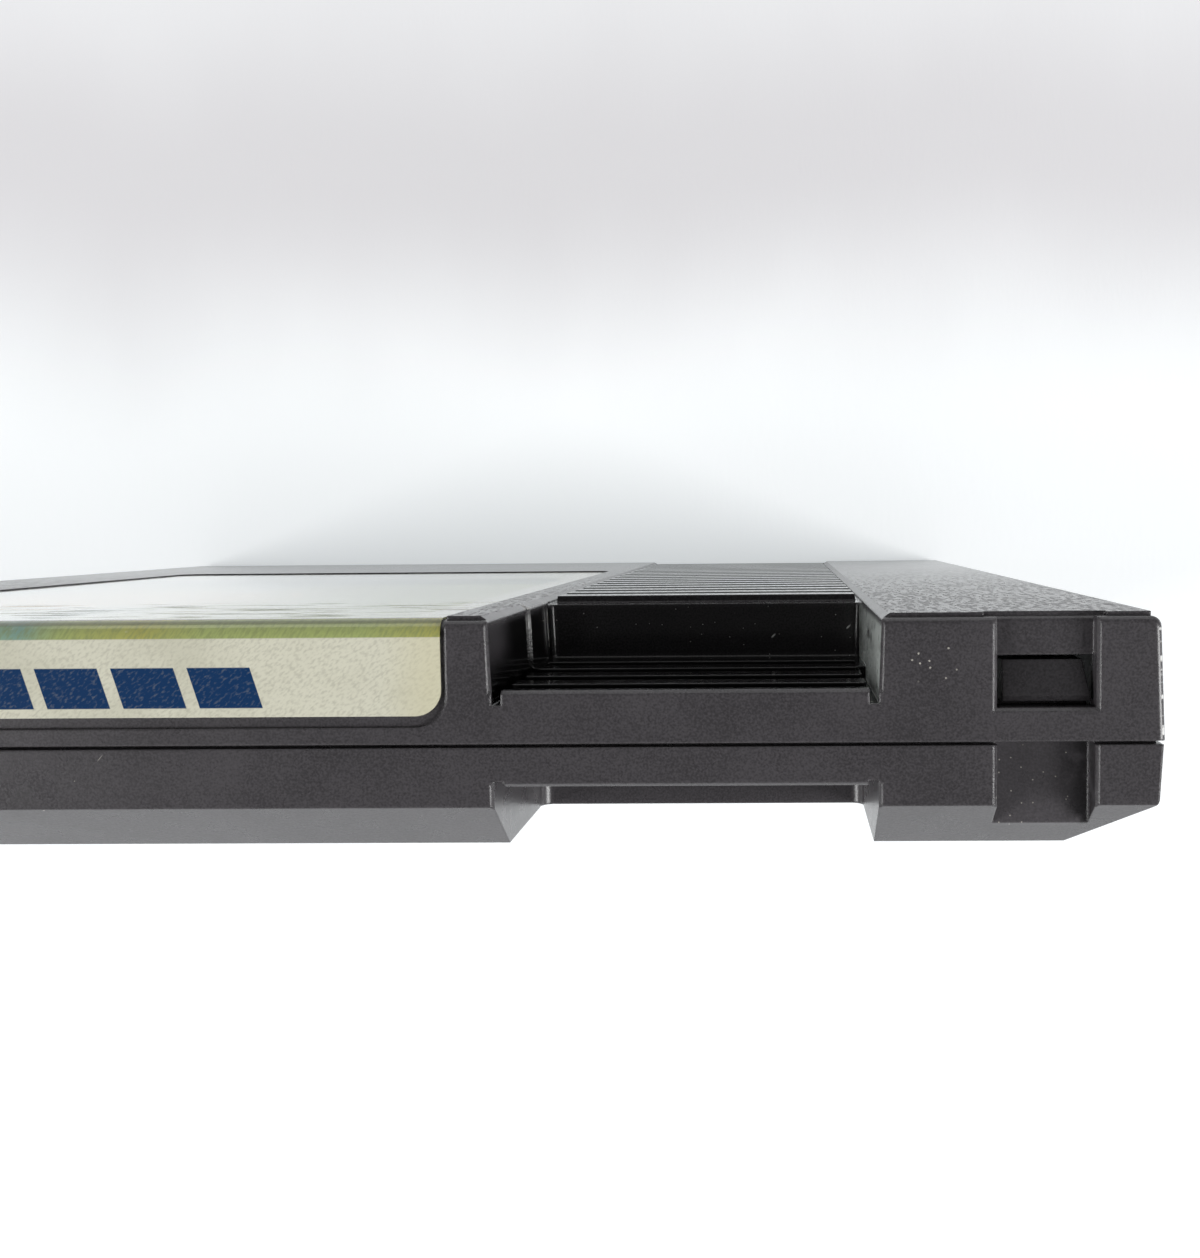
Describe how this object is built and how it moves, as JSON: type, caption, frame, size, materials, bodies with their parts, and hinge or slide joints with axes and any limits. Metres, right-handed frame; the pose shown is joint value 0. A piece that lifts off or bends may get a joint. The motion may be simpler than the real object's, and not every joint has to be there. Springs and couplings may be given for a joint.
{
  "type": "game cartridge",
  "caption": "Grey moulded game cartridge, two snapped and screwed half shells with ribbed column, finger recesses and wrapped label round a circuit board with edge contacts",
  "frame": {"origin": "middle of the connector end, on which the cartridge stands, halfway between front panel and back plateau", "axes": "X across the front towards the label side, Y from front to back, Z from the connector end up to the label end"},
  "size_m": [0.12, 0.0164, 0.1334],
  "materials": {
    "case_front": "grey moulded plastic, fine spark texture on the panel, smooth elsewhere",
    "case_back": "grey moulded plastic, fine texture",
    "label": "coated printed paper",
    "screw": "bright zinc",
    "board": "green solder mask",
    "contact": "gold plated",
    "package": "black moulded epoxy",
    "lead": "tinned",
    "ceramic": "dipped ceramic",
    "can": "sleeved can"
  },
  "bodies": {
    "root": {"front_shell": "case_front", "back_shell": "case_back", "wrap_label": "label", "case_screws": "screw", "circuit_board": "board", "front_contacts": "contact", "rear_contacts": "contact", "program_rom": "package", "program_rom_leads": "lead", "character_rom": "package", "character_rom_leads": "lead", "bank_switch_chip": "package", "bank_switch_leads": "lead", "lockout_chip": "package", "lockout_leads": "lead", "bypass_capacitors": "ceramic", "bypass_capacitor_leads": "lead", "filter_capacitor": "can", "filter_capacitor_leads": "lead"}
  },
  "joints": []
}
